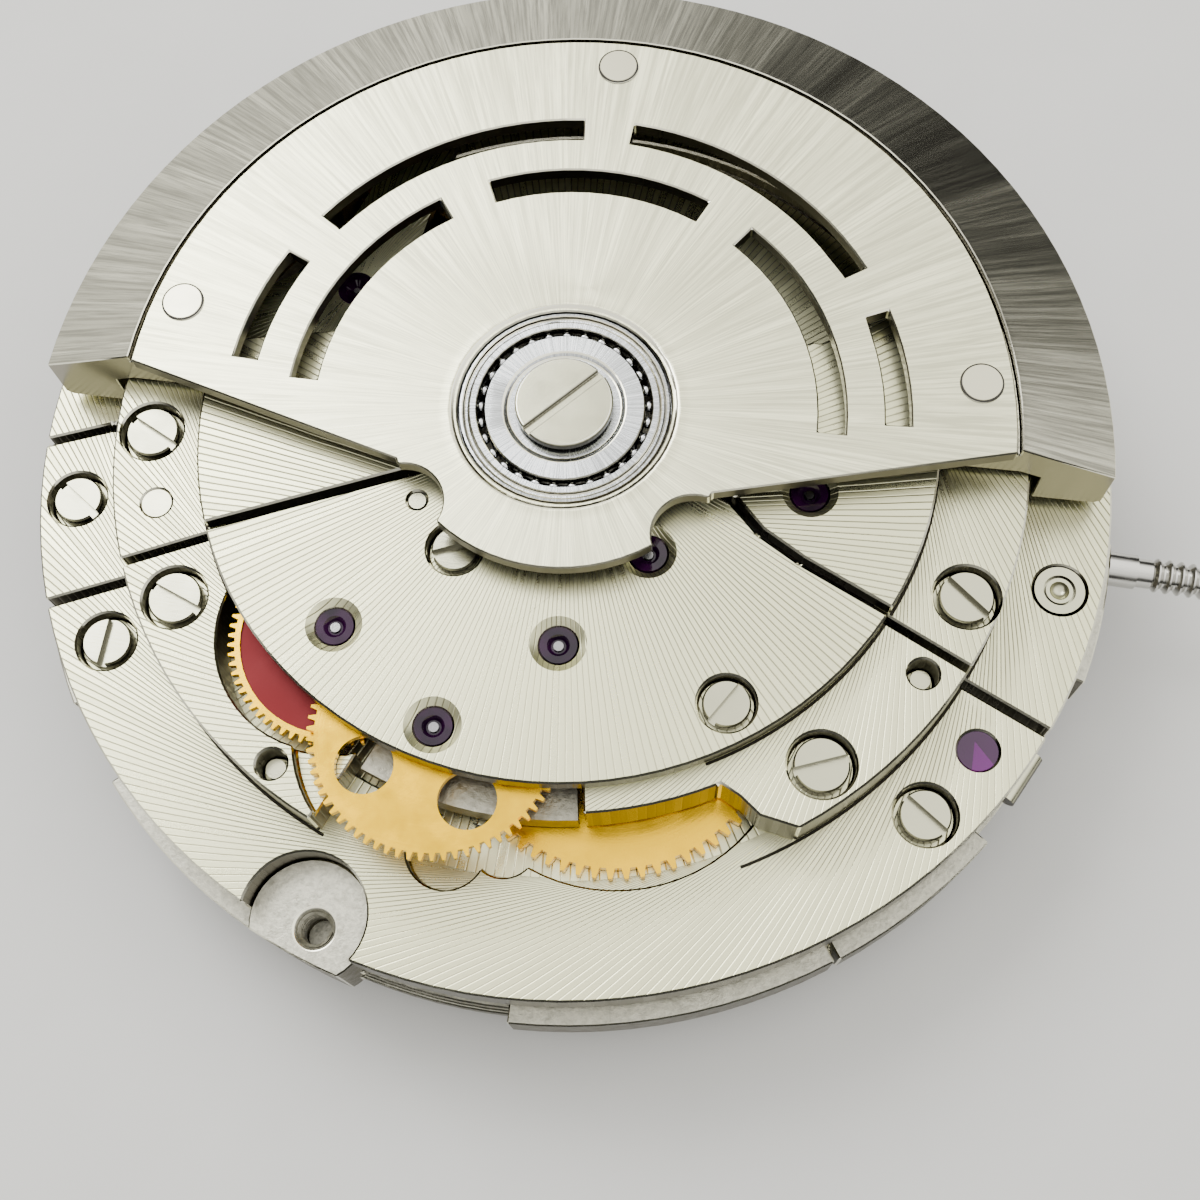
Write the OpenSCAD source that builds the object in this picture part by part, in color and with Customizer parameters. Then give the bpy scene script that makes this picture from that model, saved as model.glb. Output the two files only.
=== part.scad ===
// Automatic wristwatch movement, rotor side up.
// Origin: centre of the movement on the plane that the dial seats on.
// +Z points from the dial side to the rotor, +X along the winding stem.

/* [Overall] */
// Casing diameter over the rim lugs
casing_d = 28.5; // [28.4:0.05:28.6]
// Top of the mainplate wall that carries the outer bridges
plate_top = 1.9; // [1.88:0.01:1.92]
// Top of the outer bridges
outer_top = 3.02; // [3.0:0.01:3.04]
// Top of the automatic frame blocks
frame_top = 4.44; // [4.42:0.01:4.46]
// Top of the automatic bridges
auto_top = 4.94; // [4.9:0.01:4.96]
// Top of the rotor plate
rotor_top = 5.78; // [5.74:0.01:5.8]

/* [Bridges] */
// Outer radius of the outer bridges
outer_r = 13.85; // [13.8:0.05:13.9]
// Radius where the outer bridges meet the automatic frame
frame_r = 11.49; // [11.45:0.01:11.5]
// Outer radius of the automatic bridges
auto_r = 9.22; // [9.2:0.01:9.25]
// Width of the gap between neighbouring bridges
slit_w = 0.22; // [0.18:0.01:0.26]

/* [Rotor] */
// Outer radius of the heavy segment
weight_r = 13.47; // [13.4:0.01:13.5]
// Outer radius of the rotor plate
rotor_r = 10.91; // [10.88:0.01:10.92]
// Rest angle of the rotor about the centre
rotor_a = 92.6; // [92:0.1:93]
// Thickness of the rotor plate
rotor_t = 0.4; // [0.36:0.01:0.42]
// Number of bearing balls
ball_n = 29; // [24:1:29]

/* [Automatic gears] */
// Module of the rotor gear and reversing wheels
m_rotor = 0.0789; // [0.0789:0.0001:0.079]
// Module of the reduction wheel
m_red = 0.0851; // [0.085:0.0001:0.0852]
// Module of the ratchet train
m_ratchet = 0.12; // [0.12:0.001:0.121]

/* [Stem] */
// Height of the stem's axis above the dial seat
stem_z = 1.0; // [0.98:0.01:1.02]
// Radius of the stem
stem_r = 0.45; // [0.44:0.01:0.46]
// How far out the stem's threaded end reaches
stem_end = 17.4; // [16.5:0.1:18]

/* [Hidden] */
$fn = 64;
EPS = 0.01;
function pol(r, a) = [r * cos(a), r * sin(a)];
function unit(a) = [cos(a), sin(a)];
// Point at distance rp from p and rq from q, on the left of p to q when side is 1.
function meet(p, rp, q, rq, side) =
    let (d = norm(q - p), u = (q - p) / d, a = (rp * rp - rq * rq + d * d) / (2 * d))
    p + a * u + side * sqrt(rp * rp - a * a) * [-u[1], u[0]];
function heading(p, q) = atan2(q[1] - p[1], q[0] - p[0]);
// Phase of gear 2 so that its gaps face the teeth of gear 1 (phases are tooth centres).
function mesh_phase(p1, n1, ph1, p2, n2) =
    let (d = heading(p1, p2)) d + 180 - (180 - n1 * (d - ph1)) / n2;

// Automatic train: rotor gear, two reversers, idler, reduction wheel, ratchet wheel
rotor_n = 80;
rev_n = 68;
idler_n = 23;
red_n = 70;
out_n = 12;
drive_n = 7;
ratchet_n = 64;
inter_n = 52;
O = [0, 0];
C = pol(m_rotor * (rotor_n + rev_n) / 2, 278.9);
A = C + m_rotor * rev_n * unit(184.6);
D = pol(m_rotor * (rotor_n + idler_n) / 2, 309.8);
B = meet(A, m_red * (red_n + out_n) / 2, C, m_red * (red_n + out_n) / 2, -1);
M = B + m_ratchet * (drive_n + ratchet_n) / 2 * unit(20);
E = M + m_ratchet * (ratchet_n + inter_n) / 2 * unit(56.94);

// Going train: barrel, second wheel, third wheel, seconds wheel, escape wheel
m_barrel = 0.11;
m_second = 0.09;
m_third = 0.07;
m_fourth = 0.06;
barrel_n = 80;
p2_n = 12;
second_n = 80;
p3_n = 10;
third_n = 75;
p4_n = 10;
fourth_n = 84;
esc_p_n = 7;
esc_n = 20;
S = M + m_barrel * (barrel_n + p2_n) / 2 * unit(142);
T = meet(O, m_third * (third_n + p4_n) / 2, S, m_second * (second_n + p3_n) / 2, -1);
X = pol(m_fourth * (fourth_n + esc_p_n) / 2, 90);
H = pol(7.6, 150);
P = X + 2.2 * unit(heading(X, H));
balance_r = 3.95;

// Motion work and calendar, on the dial side
m_minute = 0.1;
m_hour = 0.096;
cannon_n = 12;
minute_n = 36;
mp_n = 10;
hour_n = 40;
date_n = 80;
setting_n = 46;
W = meet(O, m_minute * (cannon_n + minute_n) / 2, S, m_minute * (p2_n + minute_n) / 2, 1);
DW = pol(m_hour * (hour_n + date_n) / 2, 120);
SW = W + m_minute * (minute_n + setting_n) / 2 * unit(13.6);

// Keyless work
K = [8.3, 1.9];
crown_n = 45;
stem_n = 13;
lever_pivot = [11.65, -2.2];
yoke_pivot = [8.75, -2.4];
button_at = pol(12.82, 352.5);

// Screws: [radius, angle, slot direction]
outer_screws = [[12.86, 195.0, 148], [12.64, 213.5, 92], [12.78, 321.9, 146]];
frame_screws = [[10.55, 189.5, 156], [10.49, 214.9, 161], [10.52, 314.7, 24], [10.64, 344.7, 143]];
auto_screws = [[8.25, 307.5, 60], [4.30, 242.1, 25]];
rear_screws = [[12.5, 40, 20], [12.5, 100, 110], [12.5, 160, 75]];
case_holes = [[13.47, 253.5], [13.47, 73.5]];
case_pockets = [[13.36, 252.7], [13.36, 72.7]];
foot_r = 0.37;
dial_feet = [[12.9, 334.3], [12.9, 154.3]];
foot_screws = [[13.9, 334.3], [13.9, 154.3]];
plate_posts = [45, 200, 250, 315];
post_r = 8.4;
ruby_at = pol(12.69, 331.2);
lugs = [[206, 216], [225.5, 247], [274.3, 306.7], [307.4, 326.5], [346, 362], [18, 48], [96, 140], [168, 190]];

// Heights
slab_lo = 0.55;
lever_lo = 0.36;
lever_hi = 0.5;
slab_hi = 0.95;
web_lo = 2.2;
web_hi = 2.6;
low_lo = 3.4;
low_hi = 3.75;
ratchet_lo = 2.66;
ratchet_hi = 2.95;
rev_lo = 3.87;
rev_hi = 4.07;
red_lo = 4.18;
red_hi = 4.38;

// ---- plain shapes -------------------------------------------------------

module at(p, z = 0) translate([p[0], p[1], z]) children();

module disc(r, z0, z1) translate([0, 0, z0]) cylinder(h = z1 - z0, r = r);

module ring(ri, ro, z0, z1)
    translate([0, 0, z0])
    linear_extrude(z1 - z0)
    difference() {
        circle(ro);
        circle(ri);
    }

// Pie slice that reaches well past the rim.
module wedge(a1, a2, r = 22)
    polygon(concat([O], [for (i = [0:4]) pol(r, a1 + (a2 - a1) * i / 4)]));

module ring_part(ri, ro, a1, a2)
    intersection() {
        difference() {
            circle(ro);
            circle(ri);
        }
        wedge(a1, a2);
    }

module slab(z0, z1) translate([0, 0, z0]) linear_extrude(z1 - z0) children();

// Bar of width w between two plan points.
module bar(p, q, w)
    translate((p + q) / 2)
    rotate(heading(p, q))
    square([norm(q - p) + w * 0.6, w], center = true);

// Region between two boundary paths that run outwards from the centre.
module between(path_a, path_b, a1, a2)
    polygon(concat(path_a, [for (i = [1:4]) pol(22, a1 + (a2 - a1) * i / 5)],
        [for (i = [len(path_b) - 1:-1:0]) path_b[i]]));

module slit(path, w = slit_w)
    for (i = [0:len(path) - 2])
        bar(path[i], path[i + 1], w);

module tooth_form(n, m, ph, add, ded, root, tip)
    polygon([
        for (i = [0:n - 1], k = [[-root, -ded], [-tip, add], [tip, add], [root, -ded]])
            pol(m * n / 2 + k[1] * m, ph + (i + k[0]) * 360 / n)
    ]);

// Toothed disc with a round hole.
module gear(n, m, z0, z1, ph = 0, hole = 0, add = 0.9, ded = 1.2, root = 0.29, tip = 0.12)
    slab(z0, z1)
    difference() {
        tooth_form(n, m, ph, add, ded, root, tip);
        if (hole > 0)
            circle(hole);
    }

module pinion(n, m, z0, z1, ph = 0)
    gear(n, m, z0, z1, ph, 0, 0.75, 1.1, 0.25, 0.1);

// Openings that leave count spokes of width w between ri and ro.
module spoke_gaps(ri, ro, count, w, z0, z1, a = 0)
    slab(z0 - EPS, z1 + EPS)
    difference() {
        circle(ro);
        circle(ri);
        for (i = [0:count - 1])
            rotate(a + i * 360 / count)
            translate([0, -w / 2])
            square([ro + 1, w]);
    }

// Arbor of radius r between its shoulders, with a pivot at each end.
module arbor(r, lo, hi, pivot_r, z0, z1) {
    disc(pivot_r, z0, z1);
    disc(r, lo, hi);
}

// Arbor that runs between the mainplate and the web of the outer bridges.
module train_arbor(r, pivot_r)
    arbor(r, slab_hi + 0.04, web_lo - 0.04, pivot_r, slab_lo + 0.1, web_hi - 0.1);

// Arbor that runs between the automatic plate and the automatic bridges.
module auto_arbor(r)
    arbor(r, low_hi + 0.04, auto_top - 0.46, 0.12, low_lo + 0.05, auto_top - 0.2);

// Ring jewel with an oil sink, top at z1.
module jewel(r, hole, z0, z1)
    difference() {
        disc(r, z0, z1);
        disc(hole, z0 - 1, z1 + 1);
        translate([0, 0, z1 - 0.12])
            cylinder(h = 0.12 + EPS, r1 = hole + 0.04, r2 = r * 0.62);
    }

// Slotted screw: head of radius r with its top at z1, slot across it at slot_a.
module screw(r, head_h, z1, slot_a, shank_r, shank_z, slot_w = 0.2) {
    difference() {
        union() {
            disc(r - 0.04, z1 - head_h, z1);
            disc(r, z1 - head_h, z1 - 0.05);
            translate([0, 0, z1 - 0.05])
                cylinder(h = 0.05, r1 = r, r2 = r - 0.04);
        }
        translate([0, 0, z1 - min(0.19, 0.6 * head_h)])
            rotate(slot_a)
            translate([-1.5 * r, -slot_w / 2, 0])
            cube([3 * r, slot_w, 0.3]);
    }
    disc(shank_r, shank_z, z1 - head_h);
}

// Counterbore and shank hole for a screw in a plate.
module screw_seat(p, sink_r, floor_z, hole_r, z0, z1)
    at(p) {
        disc(sink_r, floor_z, z1 + EPS);
        disc(hole_r, z0 - EPS, z1);
    }

// ---- bridge outlines ----------------------------------------------------

slit_a = [pol(3, 184.2), pol(12.15, 185.5), pol(13.74, 187.7), pol(22, 191.5)];
slit_b = [pol(3, 206.9), pol(22, 206.9)];
slit_c = [pol(3, 337), pol(22, 337)];
slit_r = [pol(3, 21), pol(22, 21)];
slit_d = [pol(3, 207.7), pol(22, 207.7)];
slit_e = [pol(3, 336.2), pol(22, 336.2)];
slit_f = [pol(3, 209.4), pol(4.18, 209), pol(6.07, 208), pol(9.24, 207.3), pol(22, 207)];
slit_g = [pol(3.3, 346), pol(4.62, 341.9), pol(5.62, 337.3), pol(6.82, 336.3), pol(9.05, 336.5), pol(22, 336.5)];

module centre_to(path_a, path_b, a1, a2)
    difference() {
        between(concat([O], path_a), path_b, a1, a2);
        slit(path_a);
        slit(path_b);
    }

// Outer bridge level: rim, ledge for the frame blocks and a thin web over the train.
module outer_level(path_a, path_b, a1, a2)
    intersection() {
        union() {
            ring(9.9, outer_r, plate_top, outer_top);
            ring(9.0, 10.2, web_lo, web_hi);
            disc(9.5, web_lo, web_hi);
        }
        slab(0, 6)
            centre_to(path_a, path_b, a1, a2);
    }

module casing_pockets()
    for (p = case_pockets)
        at(pol(p[0], p[1]))
        disc(1.51, plate_top - EPS, 6);

module web_holes() {
    at(S) disc(0.46, 1, 3);
    at(T) disc(0.46, 1, 3);
    at(X) disc(0.4, 1, 3);
    at(O) disc(0.46, 1, 3);
    at(B) disc(0.44, 1, 3);
    at(E) disc(0.44, 1, 3);
    at(K) disc(0.44, 1, 3);
    at(M) disc(0.66, 1, 3);
    slab(plate_top - 1, 3)
        pallet_window(0.05);
}

module outer_cuts() {
    at(M) disc(4.21, web_hi, 6);
    at(E) disc(inter_n * m_ratchet / 2 + 0.35, web_hi, 6);
    at(B) disc(0.75, web_hi, 6);
    at([-0.984, -10.656]) disc(0.95, web_hi, 6);
    at([0.354, -10.315]) disc(0.77, web_hi, 6);
    at(H) disc(balance_r + 0.15, plate_top - EPS, 6);
    at(ruby_at) disc(0.5, 0, 6);
    at(button_at) disc(0.66, 0, 6);
    at(K) disc(2.95, plate_top - EPS, web_lo);
    casing_pockets();
    web_holes();
    for (s = concat(outer_screws, rear_screws))
        screw_seat(pol(s[0], s[1]), 0.76, outer_top - 0.42, 0.3, 0, outer_top);
    for (s = frame_screws)
        at(pol(s[0], s[1])) disc(0.27, 0, 6);
}

module pallet_window(gap)
    for (s = [-1, 1])
        hull() {
            translate(P) circle(0.75 + gap, $fn = 32);
            translate(P + 1.5 * s * unit(heading(X, H) + 90)) circle(0.6 + gap, $fn = 32);
        }

// ---- mainplate and calendar ---------------------------------------------

module rim_profile() {
    ring(12.4, 13.95, 0, 0.5);
    disc(13.6, 0, plate_top);
    ring(12, 13.85, 0.5, 0.9);
    for (l = lugs)
        slab(0, l[1] > 300 && l[0] > 300 && l[1] < 330 ? 1.25 : 1.5)
        ring_part(12.5, casing_d / 2, l[0], l[1]);
    for (p = case_pockets)
        slab(0, 2.2)
        intersection() {
            translate(pol(p[0], p[1])) circle(1.49);
            circle(casing_d / 2);
        }
}

// Slot that holds the stem, both pinions and the ends of the levers.
module keyless_pocket() translate([7.1, -1.15, 0.2]) cube([5.8, 2.3, 3]);

module train_cavity() {
    at(M) disc(4.62, 0.8, plate_top + 1);
    at(O) disc(11.0, slab_hi, plate_top + 1);
    keyless_pocket();
    at(H) disc(balance_r + 0.15, plate_top - 0.2, 3);
    at(K) disc(2.95, plate_top - 0.15, 3);
    // room for the setting lever to swing out
    translate([11, -1.9, 0.3]) cube([2, 3, 0.215]);
}

// Pillars of the mainplate that carry the web of the outer bridges.
module pillars()
    for (p = [[9.2, 40], [9.2, 70], [9.2, 198], [9.2, 335], [6.2, 60], [9.2, 100]])
        at(pol(p[0], p[1]))
        disc(0.5, slab_hi - 0.1, web_lo);

module main_plate()
    color("#c9c6bd")
    difference() {
        union() {
            difference() {
                rim_profile();
                train_cavity();
                at(O) disc(12.3, -1, 0.5);
            }
            difference() {
                disc(12.35, slab_lo, slab_hi);
                at(M) disc(4.62, 0.8, 3);
                keyless_pocket();
            }
            pillars();
            // fixed tube that carries the cannon pinion
            disc(0.33, -0.7, slab_hi + 0.1);
            disc(0.7, slab_lo, slab_hi + 0.1);
            at(W) disc(0.3, 0.1, slab_lo);
            at(SW) disc(0.3, 0.3, slab_lo);
            at(DW) disc(0.5, 0.08, slab_lo);
            at(lever_pivot) disc(0.3, lever_lo, slab_lo);
            at(yoke_pivot) disc(0.3, lever_lo, slab_lo);
            // block that guides the stem's inner end
            translate([6.2, -0.7, slab_lo]) cube([0.8, 1.4, 0.95]);
            at(H) disc(0.9, slab_lo, 1.0);
            for (a = plate_posts)
                at(pol(post_r, a)) disc(0.3, 0.12, slab_lo);
        }
        // stem bores
        along_stem() disc(stem_r + 0.02, 12.5, 16);
        along_stem() disc(0.22, 6, 8);
        // bore of the centre tube
        disc(0.15, -2, 3);
        for (p = [T, X, P, E, K])
            at(p) disc(0.3, slab_lo - 1, slab_hi + 0.5);
        at(S) disc(0.22, 0, 3);
        at(M) disc(0.42, 0, 3);
        at(H) disc(0.55, 0, 3);
        for (p = case_holes)
            at(pol(p[0], p[1])) {
                disc(0.43, 0.9, 3);
                translate([0, 0, 2.1])
                    cylinder(h = 0.1 + EPS, r1 = 0.43, r2 = 0.52);
            }
        for (p = dial_feet)
            at(pol(p[0], p[1])) disc(foot_r, -1, 1.3);
        for (s = concat(outer_screws, rear_screws))
            at(pol(s[0], s[1])) disc(0.27, 0.8, 3);
        for (s = frame_screws)
            at(pol(s[0], s[1])) disc(0.27, 1.2, 3);
        for (p = foot_screws)
            at(pol(p[0], p[1]), 0.95)
            rotate([0, 0, p[1] + 90])
            rotate([0, 90, 0])
            disc(0.27, -0.8, 0.8);
        at(button_at) disc(0.5, 0.9, 3);
    }

module calendar_plate()
    color("#bdb9ae")
    union() {
        ring(0.82, 10.6, 0, 0.07);
        for (a = plate_posts)
            at(pol(post_r, a)) disc(0.32, 0, 0.12);
    }

module date_ring()
    color("#efece2")
    difference() {
        ring(9.4, 12.15, 0.08, 0.19);
        slab(0, 1)
            tooth_form(31, 0.65, 0, 0.6, 0.5, 0.3, 0.22);
    }

module date_wheel()
    color("#c8a24a")
    at(DW)
    difference() {
        union() {
            gear(date_n, m_hour, 0.12, 0.26, mesh_phase(O, hour_n, hour_phase, DW, date_n));
            rotate(300) translate([3.0, -0.2, 0.26]) cube([0.8, 0.4, 0.12]);
        }
        disc(0.53, 0, 1);
        spoke_gaps(1.0, 3.1, 4, 0.5, 0.12, 0.4, 30);
    }

minute_phase = mesh_phase(S, p2_n, 0, W, minute_n);
cannon_phase = mesh_phase(W, minute_n, minute_phase, O, cannon_n);
hour_phase = mesh_phase(W, mp_n, 0, O, hour_n);

module hour_wheel()
    color("#c8a24a")
    difference() {
        union() {
            gear(hour_n, m_hour, 0.12, 0.26, hour_phase);
            disc(0.73, -0.1, 0.26);
            disc(0.75, -0.95, -0.05);
        }
        disc(0.58, -2, 2);
    }

module cannon_pinion()
    color("#9aa0a6")
    difference() {
        union() {
            gear(cannon_n, m_minute, 0.32, 0.5, cannon_phase, 0, 0.75, 1.1, 0.25, 0.1);
            disc(0.55, -0.95, 0.34);
            disc(0.45, -1.35, -0.9);
        }
        disc(0.35, -0.75, 2);
        disc(0.16, -2, 0);
    }

module minute_wheel()
    color("#c8a24a")
    at(W)
    difference() {
        union() {
            gear(minute_n, m_minute, 0.34, 0.5, minute_phase);
            pinion(mp_n, m_hour, 0.12, 0.36, 0);
        }
        disc(0.32, 0, 1);
    }

module setting_wheel()
    color("#9aa0a6")
    at(SW)
    difference() {
        gear(setting_n, m_minute, 0.34, 0.5, mesh_phase(W, minute_n, minute_phase, SW, setting_n));
        disc(0.32, 0, 1);
    }

// ---- keyless work -------------------------------------------------------

module along_stem() translate([0, 0, stem_z]) rotate([0, 90, 0]) children();

module winding_stem()
    color("#b9bcc0")
    along_stem() {
        disc(0.2, 6.45, 7.3);
        translate([-0.25, -0.25, 7.2]) cube([0.5, 0.5, 2.1]);
        disc(0.35, 9.25, 11.2);
        disc(stem_r, 11.1, 11.45);
        disc(0.25, 11.4, 11.9);
        disc(stem_r, 11.85, 15.0);
        disc(0.38, 15.0, 15.4);
        thread(15.4, stem_end);
    }

// Thread drawn as a row of closed ridges.
module thread(z0, z1) {
    pitch = 0.3;
    turns = floor((z1 - z0) / pitch);
    rotate_extrude()
        polygon(concat([[0, z0]],
            [for (i = [0:turns - 1], k = [[0.34, 0.02], [stem_r, 0.13], [stem_r, 0.17], [0.34, 0.28]])
                [k[0], z0 + (i + k[1] / pitch) * pitch]],
            [[0.3, z0 + turns * pitch], [0, z0 + turns * pitch]]));
}

module winding_pinion()
    color("#9aa0a6")
    along_stem()
    gear(stem_n, m_minute, 9.62, 10.9, 0, 0.37);

module sliding_pinion()
    color("#9aa0a6")
    along_stem()
    difference() {
        union() {
            gear(stem_n, m_minute, 7.95, 8.42, 0);
            disc(0.45, 8.4, 9.15);
            disc(0.7, 9.12, 9.58);
        }
        disc(0.37, 6, 10);
    }

module lever_arm(p, q, w) {
    bar(p, q, w);
    translate(p) circle(w * 0.7);
    translate(q) circle(w / 2);
}

module setting_lever()
    color("#a7aaad")
    difference() {
        union() {
            slab(lever_lo, lever_hi) {
                lever_arm(lever_pivot, [lever_pivot[0], 0.05], 0.6);
                lever_arm(lever_pivot, lever_pivot + [-1.1, -0.5], 0.45);
            }
            at([lever_pivot[0], 0]) disc(0.12, lever_lo, 0.7);
        }
        at(lever_pivot) disc(0.32, 0, 1);
    }

module yoke()
    color("#a7aaad")
    difference() {
        slab(lever_lo, lever_hi) {
            lever_arm(yoke_pivot, [yoke_pivot[0], 0.05], 0.26);
            translate(yoke_pivot) circle(0.5);
        }
        at(yoke_pivot) disc(0.32, 0, 1);
    }

module crown_wheel()
    color("#c8ccd0")
    at(K) {
        gear(crown_n, 0.12, 1.86, 2.1, 4);
        train_arbor(0.3, 0.13);
    }

module release_button()
    color("#c4c2bb")
    at(button_at)
    difference() {
        union() {
            disc(0.43, 1.4, outer_top - 0.05);
            disc(0.62, 2.35, outer_top - 0.02);
        }
        // groove between the collar and the plunger, and the cup in the plunger
        ring(0.335, 0.4, outer_top - 0.22, 4);
        disc(0.4, outer_top - 0.05, 4);
        translate([0, 0, outer_top + 0.07]) sphere(0.27);
    }

module dial_foot_screws()
    color("#b9bcc0")
    for (p = foot_screws)
        at(pol(p[0], p[1]), 0.95)
        rotate([0, 0, p[1] + 90])
        rotate([0, 90, 0])
        difference() {
            disc(0.25, -0.7, 0.7);
            translate([-0.05, -0.5, 0.6]) cube([0.1, 1, 1]);
        }

// ---- barrel and winding train -------------------------------------------

// Toothed drum and its cover.
module mainspring_barrel()
    color("#c9a352")
    at(M)
    difference() {
        union() {
            gear(barrel_n, m_barrel, 1.0, 1.18, 0);
            disc(4.1, 0.86, 1.82);
        }
        disc(3.9, 0.98, 1.7);
        disc(0.63, 0, 2);
    }

// Coiled ribbon, wound out against the barrel wall.
module mainspring() {
    steps = 24;
    turns = 8;
    function spiral_r(i) = 2.3 + 1.45 * i / (steps * turns);
    color("#8e9499")
        at(M)
        slab(1.02, 1.62)
        polygon(concat(
            [for (i = [0:steps * turns]) pol(spiral_r(i), i * 360 / steps)],
            [for (i = [steps * turns:-1:0]) pol(spiral_r(i) + 0.07, i * 360 / steps)]));
}

module barrel_arbor()
    color("#a7aaad")
    at(M) {
        disc(0.4, 0.6, 1.1);
        disc(0.6, 0.95, 2.62);
        disc(1.1, 1.02, 1.62);
        translate([-0.4, -0.4, 2.6]) cube([0.8, 0.8, 0.42]);
    }

drive_phase = 0;
ratchet_phase = mesh_phase(B, drive_n, drive_phase, M, ratchet_n);

module ratchet_wheel()
    color("#e0b14c")
    at(M)
    difference() {
        gear(ratchet_n, m_ratchet, ratchet_lo, ratchet_hi, ratchet_phase);
        translate([-0.4, -0.4, 0]) cube([0.8, 0.8, 6]);
        disc(2.3, ratchet_hi - 0.07, 4);
    }

module winding_wheel()
    color("#d9b362")
    at(E)
    difference() {
        union() {
            gear(inter_n, m_ratchet, ratchet_lo, ratchet_hi, mesh_phase(M, ratchet_n, ratchet_phase, E, inter_n));
            arbor(0.25, web_hi + 0.03, auto_top - 0.46, 0.11, web_lo + 0.15, auto_top - 0.2);
        }
        spoke_gaps(0.9, 2.4, 4, 0.5, ratchet_lo, ratchet_hi);
    }

click_pivot = M + 4.75 * unit(100);
click_tip = M + (ratchet_n * m_ratchet / 2 + 0.42) * unit(84);

module click()
    color("#a7aaad")
    slab(ratchet_lo, ratchet_hi)
    difference() {
        lever_arm(click_pivot, click_tip, 0.42);
        translate(click_pivot) circle(0.16);
    }

// ---- going train and escapement -----------------------------------------

second_phase = 0;
third_phase = 0;

module second_wheel()
    color("#d1a748")
    at(S)
    difference() {
        union() {
            gear(second_n, m_second, 1.95, 2.08, second_phase);
            pinion(p2_n, m_barrel, 0.99, 1.25, mesh_phase(M, barrel_n, 0, S, p2_n));
            train_arbor(0.2, 0.11);
            disc(0.2, 0.3, 1);
            pinion(p2_n, m_minute, 0.34, 0.5, 0);
        }
        spoke_gaps(0.8, 3.2, 5, 0.4, 1.95, 2.08);
    }

module third_wheel()
    color("#d1a748")
    at(T)
    difference() {
        union() {
            gear(third_n, m_third, 1.55, 1.68, third_phase);
            pinion(p3_n, m_second, 1.68, 2.12, mesh_phase(S, second_n, second_phase, T, p3_n));
            train_arbor(0.2, 0.11);
        }
        spoke_gaps(0.65, 2.3, 5, 0.3, 1.55, 1.68);
    }

module seconds_wheel()
    color("#d1a748")
    difference() {
        union() {
            gear(fourth_n, m_fourth, 1.2, 1.33, 0);
            pinion(p4_n, m_third, 1.45, 1.8, mesh_phase(T, third_n, third_phase, O, p4_n));
            disc(0.2, 1.1, web_lo - 0.04);
            disc(0.13, -1.35, 2.5);
            disc(0.125, -1.75, -1.3);
        }
        spoke_gaps(0.6, 2.2, 5, 0.3, 1.2, 1.33);
    }

module escape_wheel()
    color("#b9bcc0")
    at(X) {
        difference() {
            slab(1.86, 1.98)
                polygon([
                    for (i = [0:esc_n - 1], k = [[1.4, 0], [1.75, 7], [1.72, 9], [1.4, 5]])
                        pol(k[0], (i * 360 / esc_n) + k[1])
                ]);
            spoke_gaps(0.45, 1.2, 4, 0.25, 1.86, 1.98);
        }
        pinion(esc_p_n, m_fourth, 1.14, 1.4, mesh_phase(O, fourth_n, 0, X, esc_p_n));
        train_arbor(0.14, 0.09);
    }

fork_a = heading(X, H);

module pallet_fork()
    color("#a7aaad")
    at(P)
    rotate(fork_a) {
        slab(1.99, 2.09)
            union() {
                bar([0, 0], [3.2, 0], 0.3);
                bar([3.2, 0], [3.9, 0.42], 0.2);
                bar([3.2, 0], [3.9, -0.42], 0.2);
                for (s = [-1, 1])
                    bar([0, 0], [-1.15, s * 1.15], 0.3);
            }
        train_arbor(0.1, 0.08);
    }

module pallet_bridge()
    color("#c9c6bd")
    difference() {
        slab(web_lo, web_hi)
            pallet_window(0);
        at(P) disc(0.11, 0, 3);
        at(H) disc(balance_r + 0.15, 0, 3);
    }

// Rim with timing screws, arms, staff and roller.
module balance_wheel()
    color("#d8b25a")
    at(H) {
        difference() {
            disc(balance_r, 2.3, 2.6);
            spoke_gaps(0.6, balance_r - 0.45, 4, 0.4, 2.3, 2.6, 20);
        }
        for (a = [0:30:330])
            rotate(a + 10)
            translate([balance_r - 0.42, 0, 2.45])
            rotate([0, -90, 0])
            disc(0.11, 0, 0.26);
        disc(0.09, 0.7, 3.24);
        disc(0.15, 1.0, 3.0);
        disc(0.62, 2.14, 2.28);
        rotate(fork_a + 180)
            at([0.5, 0]) disc(0.07, 2.11, 2.2);
        disc(0.35, 2.55, 2.66);
    }

// Flat spiral with its stud end under the balance bridge.
module hairspring() {
    steps = 24;
    turns = 9;
    function hair_r(i) = 0.55 + 1.5 * i / (steps * turns);
    color("#5f6f8f")
        at(H)
        slab(2.68, 2.78)
        polygon(concat(
            [for (i = [0:steps * turns]) pol(hair_r(i), i * 360 / steps)],
            [for (i = [steps * turns:-1:0]) pol(hair_r(i) + 0.04, i * 360 / steps)]));
}

bridge_feet = [pol(10.75, 121), pol(11.0, 174)];

module balance_bridge()
    color("#cfccc2")
    difference() {
        slab(outer_top, outer_top + 0.32)
            for (f = bridge_feet)
                hull() {
                    translate(H) circle(1.2, $fn = 32);
                    translate(f) circle(0.7, $fn = 32);
                }
        at(H) disc(0.5, 2, 4);
        for (f = bridge_feet)
            at(f) disc(0.25, 2, 4);
    }

// ---- outer bridges ------------------------------------------------------

module barrel_bridge()
    color("#d9d6cb")
    difference() {
        union() {
            outer_level(slit_b, slit_c, 206.9, 337);
            disc(1.3, web_lo, web_hi);
        }
        outer_cuts();
        at(click_pivot) disc(0.12, 0, web_hi - 0.2);
    }

module left_bridge()
    color("#d9d6cb")
    difference() {
        outer_level(slit_a, slit_b, 190, 206.9);
        outer_cuts();
        disc(1.35, 0, 6);
    }

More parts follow.
